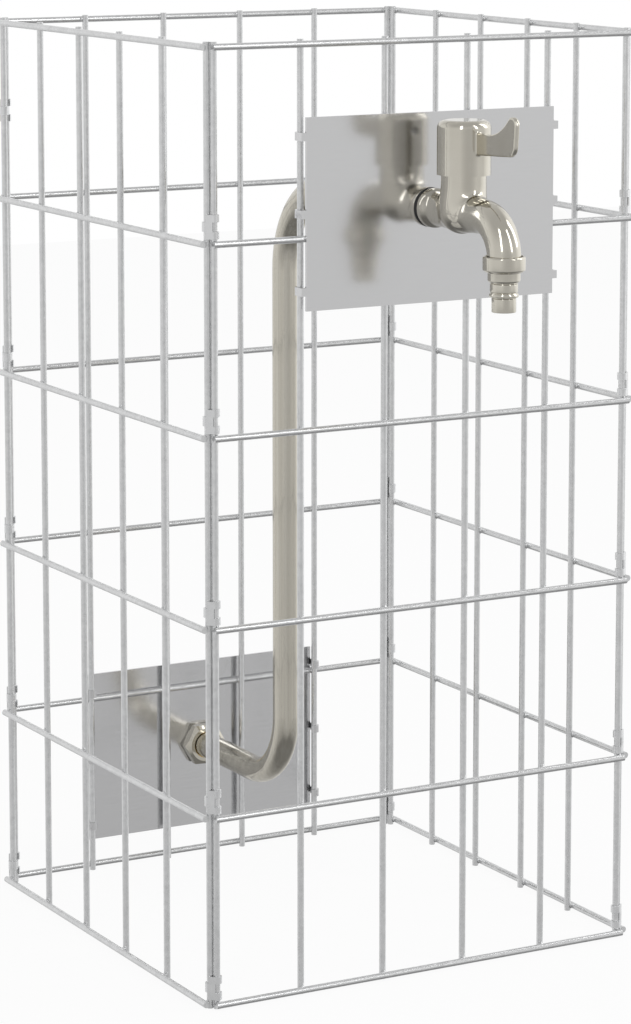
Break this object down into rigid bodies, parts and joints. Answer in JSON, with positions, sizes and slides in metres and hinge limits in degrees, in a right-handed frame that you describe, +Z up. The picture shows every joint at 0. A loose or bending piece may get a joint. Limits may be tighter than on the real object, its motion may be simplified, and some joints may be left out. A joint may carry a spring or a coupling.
{
  "type": "garden standpipe",
  "caption": "Square wire-mesh cage that carries a bent riser pipe, a steel plate at each end of it and a quarter-turn lever tap with a hose nozzle, for drawing water in a garden.",
  "frame": {"origin": "on the ground, at the centre of the square cage", "axes": "+Z up; the tap and the front plate face -Y; +X to the right of someone who faces the tap"},
  "size_m": [0.2652, 0.3726, 0.505],
  "materials": {
    "galvanised": "galvanised wire",
    "stainless": "satin",
    "nickel": "polished nickel",
    "brass": "turned, bare",
    "ceramic": "lapped",
    "rubber": "plain"
  },
  "bodies": {
    "stand": {"front_mesh_panel": "galvanised", "rear_mesh_panel": "galvanised", "left_mesh_panel": "galvanised", "right_mesh_panel": "galvanised", "front_left_clips": "galvanised", "front_right_clips": "galvanised", "rear_left_clips": "galvanised", "rear_right_clips": "galvanised", "front_plate": "stainless", "rear_plate": "stainless", "riser_pipe": "nickel", "inlet_connector": "nickel", "inlet_compression_nut": "nickel", "inlet_olive": "brass", "inlet_washer": "rubber", "outlet_tail": "nickel", "tap_washer": "rubber", "tap_body": "nickel", "seat_seal": "rubber", "lower_ceramic_disc": "ceramic", "cartridge_body": "brass", "cartridge_gasket": "rubber", "nozzle_washer": "rubber", "hose_nozzle": "nickel"},
    "lever": {"lever_handle": "nickel", "handle_screw": "stainless", "spindle": "brass", "spindle_seal_rings": "rubber", "spindle_clip": "stainless", "upper_ceramic_disc": "ceramic"},
    "nozzle_nut": {"nozzle_nut": "nickel"}
  },
  "joints": [
    {"name": "lever_turn", "type": "hinge", "parent": "stand", "child": "lever", "pos_m": [0, -0.16567, 0.4153], "axis": [0, 0, 1], "range_deg": [0, 90]},
    {"name": "nozzle_nut_turn", "type": "hinge", "parent": "stand", "child": "nozzle_nut", "pos_m": [0, -0.20507, 0.393], "axis": [0, 0, 1], "continuous": true}
  ]
}
